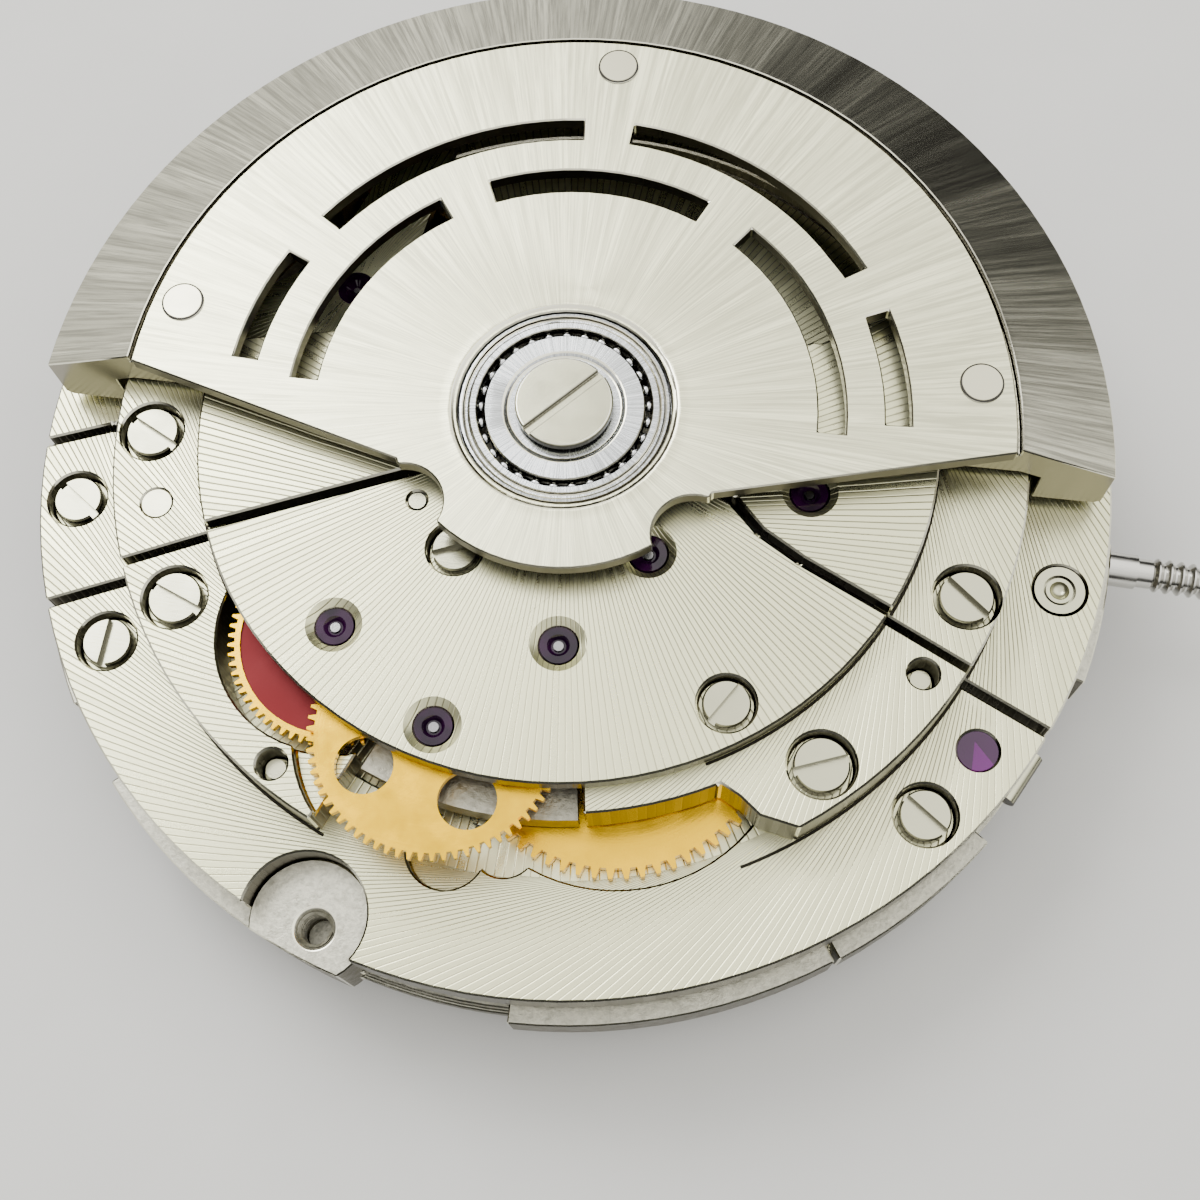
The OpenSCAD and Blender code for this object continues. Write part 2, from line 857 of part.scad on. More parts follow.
module rear_bridge()
    color("#d9d6cb")
    difference() {
        outer_level(slit_r, slit_a, 21, 190);
        outer_cuts();
        disc(1.35, 0, 6);
        for (f = bridge_feet)
            at(f) disc(0.22, 2.3, 6);
    }

module winding_bridge()
    color("#d9d6cb")
    difference() {
        outer_level(slit_c, slit_r, 337, 381);
        outer_cuts();
        disc(1.35, 0, 6);
    }

// ---- automatic frame ----------------------------------------------------

module frame_level()
    union() {
        ring(8.75, frame_r, outer_top, frame_top);
        ring(7.9, 8.9, outer_top, low_lo);
    }

module frame_cuts() {
    at(A) disc(2.95, outer_top - 1, 6);
    at(C) disc(2.85, low_lo, 6);
    at(B) disc(3.35, 4.1, 6);
    at(B) disc(0.75, 0, 6);
    at(E) disc(0.35, 0, 6);
    for (s = frame_screws)
        screw_seat(pol(s[0], s[1]), 0.8, frame_top - 0.42, 0.3, 0, frame_top);
    for (p = [[10.40, 200.5, 0.38], [10.96, 241.6, 0.37], [10.65, 332.6, 0.37]])
        at(pol(p[0], p[1])) disc(p[2], outer_top + 0.6, 6);
    at(bridge_feet[1]) disc(0.95, 0, 6);
}

module frame_part(path_a, path_b, a1, a2)
    difference() {
        intersection() {
            frame_level();
            slab(0, 6)
                centre_to(path_a, path_b, a1, a2);
        }
        frame_cuts();
    }

module frame_left()
    color("#d9d6cb")
    frame_part([pol(3, 181), pol(22, 181)], slit_d, 181, 207.7);

module frame_lower_left()
    color("#d9d6cb")
    frame_part(slit_d, [pol(3, 250), pol(22, 250)], 207.7, 250);

module frame_lower_right()
    color("#d9d6cb")
    difference() {
        frame_part([pol(3, 282.3), pol(22, 282.3)], slit_e, 282.3, 336.2);
        // the end towards the winding opening steps back
        slab(0, 6)
            difference() {
                wedge(280, 301.9);
                circle(9.8);
            }
        slab(0, 6)
            polygon([pol(9.79, 301.5), pol(9.79, 301.9), pol(10.24, 303.5), pol(10.83, 304.7),
                pol(11.5, 308.2), pol(13, 309), pol(13, 301)]);
    }

module frame_right()
    color("#d9d6cb")
    frame_part(slit_e, [pol(3, 380), pol(22, 380)], 336.2, 380);

module locating_pins()
    color("#c2c0b8") {
        for (p = [[10.40, 200.5, 0.37], [10.96, 241.6, 0.24], [10.65, 332.6, 0.24]])
            at(pol(p[0], p[1]))
            disc(p[2], outer_top + 0.6, p[2] > 0.3 ? frame_top - 0.03 : frame_top - 0.5);
        at(pol(4.19, 220.3)) disc(0.21, frame_top, auto_top - 0.05);
    }

module automatic_plate()
    color("#aeaba2")
    difference() {
        union() {
            disc(8.72, low_lo, low_hi);
            slab(low_lo, low_hi)
                ring_part(8.6, 9.8, 250.5, 282);
            slab(outer_top, low_lo + EPS)
                ring_part(8.9, 9.8, 262, 282);
            // posts that hold up the bridges
            for (p = [[4.19, 220.3], [4.30, 242.1], [6.0, 12], [5.6, 190]])
                at(pol(p[0], p[1])) disc(0.45, low_hi - EPS, frame_top);
            disc(1.95, low_hi - EPS, 3.85);
            disc(1.15, low_hi - EPS, 5.25);
        }
        at(B) disc(0.62, 0, 6);
        at(E) disc(0.35, 0, 6);
        for (p = [A, C, D])
            at(p) disc(0.4, 0, 6);
        for (s = auto_screws)
            at(pol(s[0], s[1])) disc(0.24, 0, 6);
        disc(0.3, 3, 6);
        // clearance over the balance and escapement
        slab(0, 6)
            intersection() {
                wedge(32, 176);
                difference() {
                    circle(12);
                    circle(3.9);
                }
            }
    }

module automatic_level(path_a, path_b, a1, a2)
    difference() {
        intersection() {
            ring(3.35, auto_r, frame_top, auto_top);
            slab(0, 6)
                centre_to(path_a, path_b, a1, a2);
        }
        for (p = [A, B, C, D, E])
            at(p) {
                disc(0.46, 0, 6);
                translate([0, 0, auto_top - 0.14])
                    cylinder(h = 0.14 + EPS, r1 = 0.5, r2 = 0.7);
            }
        for (s = auto_screws)
            screw_seat(pol(s[0], s[1]), 0.69, auto_top - 0.32, 0.27, 0, auto_top);
        at(pol(4.19, 220.3)) disc(0.24, 0, 6);
        at(pol(6.85, 31.5)) disc(0.4, 0, 6);
    }

module automatic_bridge()
    color("#dcd9ce")
    automatic_level(slit_f, slit_g, 207, 336.5);

left_end = [pol(3.4, 152), pol(6.55, 164.9), pol(8.8, 173), pol(22, 179)];

module automatic_bridge_left()
    color("#dcd9ce")
    automatic_level(left_end, slit_f, 179, 207);

module automatic_bridge_right()
    color("#dcd9ce")
    automatic_level(slit_g, [pol(3.3, 30), pol(22, 30)], -23.5, 30);

module bridge_screws()
    color("#c2c0b8") {
        for (s = concat(outer_screws, rear_screws))
            at(pol(s[0], s[1])) screw(0.62, 0.4, outer_top - 0.02, s[2], 0.25, 1.1);
        for (s = frame_screws)
            at(pol(s[0], s[1])) screw(0.66, 0.4, frame_top - 0.02, s[2], 0.25, 1.4);
        for (s = auto_screws)
            at(pol(s[0], s[1])) screw(0.57, 0.3, auto_top - 0.02, s[2], 0.22, low_hi - 0.3);
    }

// Bearing jewels of every level, the two balance jewels and the bush of the barrel arbor.
module jewels()
    color("#4c1c55") {
        for (p = [A, B, C, D, E])
            at(p) jewel(0.45, 0.14, auto_top - 0.42, auto_top - 0.14);
        for (p = [A, C, D])
            at(p) jewel(0.39, 0.14, low_lo, low_hi);
        for (p = [S, T, O])
            at(p) jewel(0.45, 0.14, web_lo, web_hi);
        for (p = [B, E, K])
            at(p) jewel(0.43, p == K ? 0.16 : 0.14, web_lo, web_hi);
        at(X) jewel(0.39, 0.12, web_lo, web_hi);
        for (p = [T, E, K, X, P])
            at(p) jewel(0.29, p == X ? 0.12 : p == P ? 0.11 : p == K ? 0.16 : 0.14, slab_lo, slab_hi);
        at(M) ring(0.63, 0.65, web_lo, web_hi);
        at(ruby_at) disc(0.49, plate_top, outer_top - 0.06);
        at(H) jewel(0.54, 0.12, slab_lo, slab_hi);
        at(H) jewel(0.49, 0.12, 3.05, 3.3);
    }

// ---- automatic gears ----------------------------------------------------

rev_c_phase = mesh_phase(O, rotor_n, rotor_a, C, rev_n);
rev_a_phase = mesh_phase(C, rev_n, rev_c_phase, A, rev_n);
red_phase = mesh_phase(C, out_n, 0, B, red_n);

module reverser_rim(ph)
    difference() {
        gear(rev_n, m_rotor, rev_lo, rev_hi, ph);
        disc(2.46, 0, rev_hi + 1);
    }

module driving_reverser()
    color("#e2b23e")
    at(C) {
        reverser_rim(rev_c_phase);
        pinion(out_n, m_red, 4.15, red_hi, 0);
        auto_arbor(0.25);
    }

module driven_reverser()
    color("#e2b23e")
    at(A)
    reverser_rim(rev_a_phase);

module driven_pinion()
    color("#e2b23e")
    at(A) {
        pinion(out_n, m_red, 4.15, red_hi, mesh_phase(B, red_n, red_phase, A, out_n));
        auto_arbor(0.25);
    }

module reverser_disc(p)
    color("#a3202f")
    at(p)
    difference() {
        disc(2.46, rev_lo + 0.02, rev_hi - 0.05);
        disc(0.27, 0, 6);
    }

module driving_disc() reverser_disc(C);

module driven_disc() reverser_disc(A);

module idler_wheel()
    color("#e2b23e")
    at(D) {
        gear(idler_n, m_rotor, 4.14, 4.36, mesh_phase(O, rotor_n, rotor_a, D, idler_n));
        auto_arbor(0.2);
    }

module reduction_wheel()
    color("#e6b43c")
    at(B)
    difference() {
        union() {
            gear(red_n, m_red, red_lo, red_hi, red_phase);
            pinion(drive_n, m_ratchet, ratchet_lo, ratchet_hi, drive_phase);
            arbor(0.25, web_hi + 0.03, auto_top - 0.46, 0.12, web_lo + 0.15, auto_top - 0.2);
        }
        for (i = [0:3])
            at(pol(1.83, 36 + 90 * i)) disc(0.7, red_lo - 0.1, red_hi + 0.1);
    }

// ---- rotor and its bearing ----------------------------------------------

module ball_groove()
    translate([2.07, 5.46])
    circle(0.16);

module bearing_inner_race()
    color("#c9ccd2") {
        rotate_extrude()
            difference() {
                // the seat of the screw is sunk, with a bevelled rim round it
                polygon([[0.9, 5.25], [1.97, 5.25], [1.97, 5.72], [1.5, 5.72], [1.4, 5.63], [0.9, 5.63]]);
                ball_groove();
            }
    }

module rotor_screw()
    color("#d6d3c8")
    screw(1.2, 0.22, 5.98, 50, 0.28, 4.2, 0.24);

module bearing_balls()
    color("#dfe2e6")
    for (i = [0:ball_n - 1])
        at(pol(2.07, i * 360 / ball_n), 5.46)
        sphere(0.14);

// Outer race, hub tube and gear that turn with the rotor.
module rotor_hub()
    color("#cfd1d4")
    difference() {
        union() {
            rotate_extrude()
                difference() {
                    polygon([[2.16, 5.2], [2.58, 5.2], [2.58, 5.74], [2.49, 5.76], [2.45, 5.66],
                        [2.36, 5.66], [2.33, 5.74], [2.16, 5.74]]);
                    ball_groove();
                }
            ring(2.16, 2.6, 4.3, 5.22);
            ring(2.3, 2.88, 5.2, rotor_top - rotor_t);
            gear(rotor_n, m_rotor, rev_lo, 4.36, rotor_a);
        }
        disc(2.16, 3, 5.21);
    }

module rotor_outline()
    difference() {
        union() {
            intersection() {
                circle(rotor_r);
                polygon(concat([O, pol(3.92, -121), pol(10.95, -90)],
                    [for (a = [-72:18:72]) pol(14, a)],
                    [pol(10.95, 90), pol(3.92, 121)]));
            }
            circle(4.27);
        }
        for (s = [-1, 1])
            translate(pol(4.61, s * 130.6)) circle(1);
        circle(2.62);
    }

module rotor_slots()
    for (s = [[7.77, 8.39, 4.5, 56], [7.77, 8.39, 65, 87.2], [7.77, 8.39, -56, -4.5],
            [7.77, 8.39, -87.2, -65], [6.16, 6.83, -24.7, 24.7], [6.16, 6.83, 36, 90],
            [6.16, 6.83, -90, -36]])
        ring_part(s[0], s[1], s[2], s[3]);

// Plate, heavy segment and three rivets.
module rotor_plate()
    color("#e3e1d6")
    rotate(rotor_a) {
        slab(rotor_top - rotor_t, rotor_top)
            difference() {
                rotor_outline();
                rotor_slots();
                for (a = [-80, 0, 80])
                    translate(pol(10.13, a)) circle(0.5);
            }
        rotate_extrude()
            polygon([[2.62, rotor_top - 0.3], [3, rotor_top - 0.3], [3.1, rotor_top], [2.86, rotor_top + 0.04],
                [2.76, rotor_top + 0.04], [2.72, rotor_top - 0.04], [2.62, rotor_top - 0.04]]);
        for (a = [-80, 0, 80])
            at(pol(10.13, a)) disc(0.5, rotor_top - rotor_t, rotor_top + 0.01);
    }

module rotor_weight()
    color("#b4b2a9")
    rotate(rotor_a)
    intersection() {
        rotate_extrude()
            polygon([[9.5, 4.62], [11.2, 4.62], [11.75, 4.4], [11.75, 3.3], [13.3, 3.3],
                [weight_r, 3.45], [weight_r, 4.79], [11.17, 5.69], [11.03, 5.75], [11.03, 5.5],
                [10.94, 5.5], [10.94, rotor_top - rotor_t], [9.5, rotor_top - rotor_t]]);
        slab(3, 6)
            wedge(-89.6, 89.6);
    }

main_plate();
calendar_plate();
date_ring();
date_wheel();
hour_wheel();
minute_wheel();
cannon_pinion();
setting_wheel();
winding_stem();
winding_pinion();
sliding_pinion();
setting_lever();
yoke();
crown_wheel();
release_button();
dial_foot_screws();
mainspring_barrel();
mainspring();
barrel_arbor();
ratchet_wheel();
winding_wheel();
click();
second_wheel();
third_wheel();
seconds_wheel();
escape_wheel();
pallet_fork();
pallet_bridge();
balance_wheel();
hairspring();
balance_bridge();
barrel_bridge();
left_bridge();
rear_bridge();
winding_bridge();
frame_left();
frame_lower_left();
frame_lower_right();
frame_right();
automatic_plate();
automatic_bridge();
automatic_bridge_left();
automatic_bridge_right();
bridge_screws();
locating_pins();
jewels();
driving_reverser();
driving_disc();
driven_reverser();
driven_disc();
driven_pinion();
idler_wheel();
reduction_wheel();
bearing_inner_race();
bearing_balls();
rotor_screw();
rotor_hub();
rotor_plate();
rotor_weight();
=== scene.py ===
"""Automatic watch movement, rotor side up.

Finishes, edges, small added pieces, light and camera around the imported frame. Lengths are in
millimetres, turned into metres by MM, unless a comment says otherwise. Scales of noise are per
metre.
"""

import math

import bpy
from mathutils import Matrix, Vector


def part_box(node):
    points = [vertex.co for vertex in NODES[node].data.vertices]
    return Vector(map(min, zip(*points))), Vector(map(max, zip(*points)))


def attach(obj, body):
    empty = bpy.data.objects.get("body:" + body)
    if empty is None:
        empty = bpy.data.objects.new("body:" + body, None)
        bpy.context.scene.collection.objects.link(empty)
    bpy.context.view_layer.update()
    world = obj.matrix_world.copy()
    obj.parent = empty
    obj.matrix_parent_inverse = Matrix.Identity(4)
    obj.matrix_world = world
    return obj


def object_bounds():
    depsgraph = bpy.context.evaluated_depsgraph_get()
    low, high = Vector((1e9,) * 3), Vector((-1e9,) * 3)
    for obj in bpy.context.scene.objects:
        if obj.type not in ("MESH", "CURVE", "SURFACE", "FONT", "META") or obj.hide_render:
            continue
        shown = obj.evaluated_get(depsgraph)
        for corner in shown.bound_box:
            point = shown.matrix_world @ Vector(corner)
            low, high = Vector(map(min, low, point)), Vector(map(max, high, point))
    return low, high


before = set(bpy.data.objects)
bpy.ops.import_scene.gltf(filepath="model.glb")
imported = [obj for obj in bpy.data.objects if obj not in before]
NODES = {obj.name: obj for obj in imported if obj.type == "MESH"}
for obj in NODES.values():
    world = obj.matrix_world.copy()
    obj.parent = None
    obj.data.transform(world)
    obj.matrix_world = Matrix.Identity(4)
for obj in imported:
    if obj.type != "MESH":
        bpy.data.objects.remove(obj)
CAD_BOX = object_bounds()
MM = 0.001
AXIS = (0, 0)


# ---- camera --------------------------------------------------------------

CAM_AT = Vector((0.005176, -0.017050, 0.039357))  # metres
CAM_RIGHT = Vector((0.98321, 0.17916, -0.03467))
CAM_DOWN = Vector((0.15582, -0.92313, -0.35150))
CAM_LENS = 46.53
CAM_SENSOR = 36.0
CAM_NEAR, CAM_FAR = 0.001, 10.0  # metres


def make_camera():
    """Camera at the photo's viewing angle."""
    data = bpy.data.cameras.new("camera")
    data.lens = CAM_LENS
    data.sensor_width = CAM_SENSOR
    data.clip_start = CAM_NEAR
    data.clip_end = CAM_FAR
    cam = bpy.data.objects.new("camera", data)
    bpy.context.scene.collection.objects.link(cam)
    right = CAM_RIGHT.normalized()
    up = (-CAM_DOWN).normalized()
    back = right.cross(up).normalized()
    up = back.cross(right).normalized()
    rot = Matrix((right, up, back)).transposed()
    cam.matrix_world = Matrix.Translation(CAM_AT) @ rot.to_4x4()
    bpy.context.scene.camera = cam


# ---- colours and node trees ----------------------------------------------


def rgb(r, g, b):
    """Display colour 0-255 to linear."""
    def linear(c):
        return ((c / 255.0 + 0.055) / 1.055) ** 2.4 if c > 10 else c / 255.0 / 12.92
    return (linear(r), linear(g), linear(b), 1.0)


def scaled(colour, factor):
    """Colour made darker or lighter by a factor."""
    return tuple(c * factor for c in colour[:3]) + (1,)


RHODIUM = rgb(230, 229, 190)
# Painted shade: darker colour for upright faces, which stay in shade
WALL_SHADE = rgb(90, 86, 75)

# Upward part of the normal at which a face is still upright and takes the painted shade of
# walls, and at which it is a top
WALL_NORMAL, TOP_NORMAL = 0.45, 0.75

# Usual range of a noise's values
NOISE_LOW, NOISE_HIGH = 0.3, 0.7


class Tree:
    """Material whose nodes are added and linked by short calls."""

    def __init__(self, name):
        self.mat = bpy.data.materials.new(name)
        self.mat.use_nodes = True
        self.nt = self.mat.node_tree
        self.nt.nodes.clear()
        self.out = self.nt.nodes.new("ShaderNodeOutputMaterial")

    def add(self, kind, inputs=None, **props):
        """New node with its properties and inputs set."""
        n = self.nt.nodes.new("ShaderNode" + kind)
        for k, v in props.items():
            setattr(n, k, v)
        for k, v in (inputs or {}).items():
            self.put(n.inputs[k], v)
        return n

    def put(self, socket, v):
        """Link or set an input."""
        if isinstance(v, bpy.types.NodeSocket):
            self.nt.links.new(v, socket)
        else:
            socket.default_value = v

    def math(self, op, a, b=0.0, clamp=False):
        return self.add("Math", {0: a, 1: b}, operation=op, use_clamp=clamp).outputs[0]

    def coords(self):
        return self.add("TexCoord").outputs["Object"]

    def normal(self):
        return self.add("NewGeometry").outputs["Normal"]

    def split(self, vec):
        return self.add("SeparateXYZ", {0: vec}).outputs

    def noise(self, vec, scale, detail=2.0, rough=0.5):
        ins = {"Vector": vec, "Scale": scale, "Detail": detail, "Roughness": rough}
        return self.add("TexNoise", ins).outputs["Fac"]

    def span(self, v, lo, hi, a, b):
        """Value mapped from lo..hi to a..b, held at the ends."""
        return self.add("MapRange", {0: v, 1: lo, 2: hi, 3: a, 4: b}).outputs[0]

    def gloss(self, noise, rough, less, more):
        """Roughness that varies with a noise, from less below rough to more above it."""
        return self.span(noise, NOISE_LOW, NOISE_HIGH, rough - less, rough + more)

    def mix(self, fac, a, b):
        n = self.add("Mix", data_type="RGBA")
        self.put(n.inputs[0], fac)
        self.put(n.inputs[6], a)
        self.put(n.inputs[7], b)
        return n.outputs[2]

    def walled(self, colour, wall_shade):
        """Colour of a top face that turns darker on upright faces: painted shade on walls."""
        up = self.split(self.normal())[2]
        return self.mix(self.span(up, WALL_NORMAL, TOP_NORMAL, 0.0, 1.0), wall_shade, colour)

    def bump(self, height, dist, normal=None):
        ins = {"Height": height, "Distance": dist, "Strength": 1.0}
        if normal is not None:
            ins["Normal"] = normal
        return self.add("Bump", ins).outputs[0]

    def polar(self, pole):
        """Angle and radius about a pole in the plane of the movement, and the point from it."""
        shift = (-pole[0] * MM, -pole[1] * MM, 0)
        vec = self.add("Mapping", {"Vector": self.coords(), "Location": shift}).outputs[0]
        x, y, _ = self.split(vec)
        square = self.math("ADD", self.math("MULTIPLY", x, x), self.math("MULTIPLY", y, y))
        return self.math("ARCTAN2", y, x), self.math("SQRT", square), vec

    def shader(self, **ins):
        """Close the material with a principled shader; _ stands for a space in a socket's name."""
        b = self.add("BsdfPrincipled")
        for k, v in ins.items():
            self.put(b.inputs[k.replace("_", " ")], v)
        self.nt.links.new(b.outputs[0], self.out.inputs[0])
        return self.mat


# ---- finishes ------------------------------------------------------------

# Engraved lines: depth, slope of a land, where its groove starts and ends as distances from the
# middle of the land, how strong the painted shade in the groove is, and how far the darkest land
# is toned down
LINE_DEPTH = 0.0068
LINE_RAMP = 0.22
GROOVE_FROM, GROOVE_TO = 0.37, 0.5
GROOVE_SHADE = 0.65
GROOVE_SHADE_COLOUR = rgb(110, 104, 84)
LINE_SHADE = 0.9

# Waviness of the lines in widths of a line, and the satin grain on them
LINE_WOBBLE, WOBBLE_SCALE = 0.3, 500.0
SATIN_DEPTH, SATIN_SCALE, SATIN_DULL = 0.0022, 30000.0, 0.1

# Painted contact shadow: a dark band in the gap at the foot of the next level; its offset from
# the step, its half width, and the middle and half width of the sector round the open gears that
# has none
SHADOW_LINE_COLOUR = rgb(40, 38, 32)
SHADOW_LINE_OFFSET, SHADOW_LINE_HALF = 0.035, 0.04
OPEN_AT, OPEN_HALF = math.radians(84.5), math.radians(25.5)


def striped(name, pole, lines, hug=0.0, tint=1.0, rough=0.26, step=0.0):
    """Engraved sunray: grooves from a pole, or tangent to a circle of radius hug round it.

    A dark band just outside the radius step is painted shadow in the gap at the foot of the next
    level up."""
    t = Tree(name)
    heading, reach, vec = t.polar(pole)
    angle = heading
    if hug:
        lean = t.math("ARCCOSINE", t.math("DIVIDE", hug * MM, reach, clamp=True))
        angle = t.math("ADD", heading, lean)
    turn = t.math("MULTIPLY", angle, lines / math.tau)
    wobble = t.math("MULTIPLY", t.noise(vec, WOBBLE_SCALE), LINE_WOBBLE)
    turn = t.math("ADD", turn, wobble)
    number = t.math("FLOOR", turn)
    pick = t.add("TexWhiteNoise", {"W": number}, noise_dimensions="1D").outputs["Value"]
    across = t.math("FRACT", turn)
    off_middle = t.math("ABSOLUTE", t.math("SUBTRACT", across, 0.5))
    groove = t.span(off_middle, GROOVE_FROM, GROOVE_TO, 0.0, 1.0)
    ramp = t.math("MULTIPLY", across, t.span(pick, 0, 1, 0.0, LINE_RAMP))
    grain = t.noise(vec, SATIN_SCALE, detail=3.0, rough=0.65)
    engraved = t.bump(t.math("SUBTRACT", ramp, groove), LINE_DEPTH * MM)
    normal = t.bump(grain, SATIN_DEPTH * MM, engraved)

    # tint below 1 dims the plating: painted shade for bridges on the shaded side
    light = scaled(RHODIUM, tint)
    land = t.mix(pick, light, scaled(light, LINE_SHADE))
    # Painted shade in the grooves of the engraving
    colour = t.mix(t.math("MULTIPLY", groove, GROOVE_SHADE), land, GROOVE_SHADE_COLOUR)
    # Painted contact shadow in the gap at the foot of the next level
    if step:
        off = t.math("ABSOLUTE", t.math("SUBTRACT", reach, (step + SHADOW_LINE_OFFSET) * MM))
        line = t.math("LESS_THAN", off, SHADOW_LINE_HALF * MM)
        from_open = t.math("ABSOLUTE", t.math("ADD", heading, OPEN_AT))
        blocks = t.math("GREATER_THAN", from_open, OPEN_HALF)
        colour = t.mix(t.math("MULTIPLY", line, blocks), colour, SHADOW_LINE_COLOUR)
    satin = t.span(pick, 0, 1, rough - 0.04, rough + 0.05)
    # Upright faces take the painted wall shade
    return t.shader(Base_Color=t.walled(colour, WALL_SHADE), Metallic=1.0, Normal=normal,
                    Roughness=t.math("ADD", satin, t.math("MULTIPLY", grain, SATIN_DULL)))


ARBOR = rgb(150, 150, 152)
RING_DEPTH, RING_SCALE, RING_SWAY, RING_DULL = 0.0016, 16000.0, 0.7, 0.05
MOTTLE_SCALE, MOTTLE_DARK = 1300.0, 0.84
WHEEL_SATIN_DEPTH, WHEEL_SATIN_SCALE = 0.0012, 22000.0


def turned(name, centre, base, core, rough=0.22):
    """Wheel with fine circular grain round its own axis; its arbor, inside core, is steel."""
    t = Tree(name)
    angle, radius, vec = t.polar(centre)
    along = {0: t.math("MULTIPLY", radius, RING_SCALE), 1: t.math("MULTIPLY", angle, RING_SWAY),
             2: 0.0}
    fine = t.noise(t.add("CombineXYZ", along).outputs[0], 1.0, detail=3.0, rough=0.6)
    mottle = t.noise(vec, MOTTLE_SCALE, detail=3.0, rough=0.6)
    rings = t.bump(fine, RING_DEPTH * MM)
    normal = t.bump(t.noise(vec, WHEEL_SATIN_SCALE), WHEEL_SATIN_DEPTH * MM, rings)
    spots = t.span(mottle, NOISE_LOW, NOISE_HIGH, 0, 1)
    colour = t.mix(spots, scaled(base, MOTTLE_DARK), base)
    if core:
        colour = t.mix(t.math("GREATER_THAN", radius, core * MM), ARBOR, colour)
    return t.shader(Base_Color=colour, Metallic=1.0, Normal=normal,
                    Roughness=t.math("ADD", t.gloss(mottle, rough, 0.05, 0.07),
                                     t.math("MULTIPLY", fine, RING_DULL)))


BRUSH_DEPTH = 0.006
BRUSH_LENGTH = 260.0
WIDE_STREAK, WIDE_PART = 0.16, 0.7


def brushed(name, base, lines, rough, aniso, depth, dark, wall_shade=WALL_SHADE):
    """Fine radial brushing about the movement's axis; dark is the streaks' part of the colour."""
    t = Tree(name)
    angle, radius, _ = t.polar(AXIS)
    along = {0: t.math("MULTIPLY", angle, lines), 1: t.math("MULTIPLY", radius, BRUSH_LENGTH),
             2: 0.0}
    streak = t.add("CombineXYZ", along).outputs[0]
    fine = t.noise(streak, 1.0, detail=4.0, rough=0.7)
    wide = t.noise(streak, WIDE_STREAK, detail=3.0, rough=0.6)
    both = t.math("ADD", fine, t.math("MULTIPLY", wide, WIDE_PART))
    low = scaled(base, dark)
    tint = t.mix(t.span(fine, 0.4, 0.6, 0, 1), low, base)
    tint = t.mix(t.span(wide, 0.42, 0.62, 0.55, 1), low, tint)
    radial = t.add("Tangent", direction_type="RADIAL", axis="Z").outputs[0]
    # Upright faces take the painted wall shade
    return t.shader(Base_Color=t.walled(tint, wall_shade), Metallic=1.0, Anisotropic=aniso,
                    Normal=t.bump(both, BRUSH_DEPTH * depth * MM), Tangent=radial,
                    Roughness=t.gloss(wide, rough, 0.05, 0.06))


# Painted shade for the upright faces of grained plates
GRAIN_WALL_SHADE = rgb(104, 100, 88)
GRAIN_DEPTH, GRAIN_DARK, COARSE_PART = 0.012, 0.6, 0.4


def grained(name, base, rough=0.38, scale=9000.0, depth=1.0):
    """Milled, unpolished metal with a sparkling grain."""
    t = Tree(name)
    vec = t.coords()
    fine = t.noise(vec, scale, detail=4.0, rough=0.7)
    coarse = t.noise(vec, scale * COARSE_PART, detail=3.0, rough=0.6)
    spots = t.span(t.math("ADD", fine, coarse), 0.75, 1.2, 0, 1)
    tint = t.mix(spots, scaled(base, GRAIN_DARK), base)
    # Upright faces take the painted wall shade
    return t.shader(Base_Color=t.walled(tint, GRAIN_WALL_SHADE), Metallic=1.0,
                    Normal=t.bump(fine, GRAIN_DEPTH * depth * MM),
                    Roughness=t.gloss(coarse, rough, 0.06, 0.1))


# Direction of the edges that are in shade
SHADED_WAY = (-0.93, 0.37, 0.0)
SCRATCH_DEPTH, SCRATCH_SCALE = 0.0015, 1500.0
SMUDGE_SCALE, SMUDGE_DARK = 700.0, 0.9


def polished(name, base, rough, depth=1.0, shaded=None, wall_shade=None):
    """Smooth metal with faint scratches and smudges.

    shaded is its colour of painted shade on edges that face SHADED_WAY, and wall_shade its colour
    of painted shade on upright faces."""
    t = Tree(name)
    vec = t.coords()
    lay = {"Vector": vec, "Scale": (1.0, 14.0, 14.0), "Rotation": (0.3, 0.2, 0.7)}
    scratches = t.noise(t.add("Mapping", lay).outputs[0], SCRATCH_SCALE, detail=3.0, rough=0.6)
    smudge = t.noise(vec, SMUDGE_SCALE, detail=3.0, rough=0.6)
    tint = t.mix(smudge, scaled(base, SMUDGE_DARK), base)
    if shaded:
        facing = t.add("VectorMath", {0: t.normal(), 1: SHADED_WAY}, operation="DOT_PRODUCT")
        shade = t.span(facing.outputs["Value"], 0.2, 0.5, 0.0, 1.0)
        tint = t.mix(shade, tint, shaded)
    # Painted shade on upright faces
    if wall_shade:
        tint = t.walled(tint, wall_shade)
    return t.shader(Base_Color=tint, Metallic=1.0,
                    Normal=t.bump(scratches, SCRATCH_DEPTH * depth * MM),
                    Roughness=t.span(smudge, 0.3, 0.75, rough * 0.7, rough * 1.6))


# The vivid ruby: how near it a surface counts as its own, the two bounds of a painted highlight
# on one facet, and how much brighter that facet is
VIVID_NEAR = 1.5
FACET_LEFT, FACET_TOP, FACET_HIGHLIGHT = -0.1, 0.12, 3.0
RUBY_CLOUD, RUBY_SATIN_SCALE, RUBY_SATIN_DEPTH = 1500.0, 4000.0, 0.001


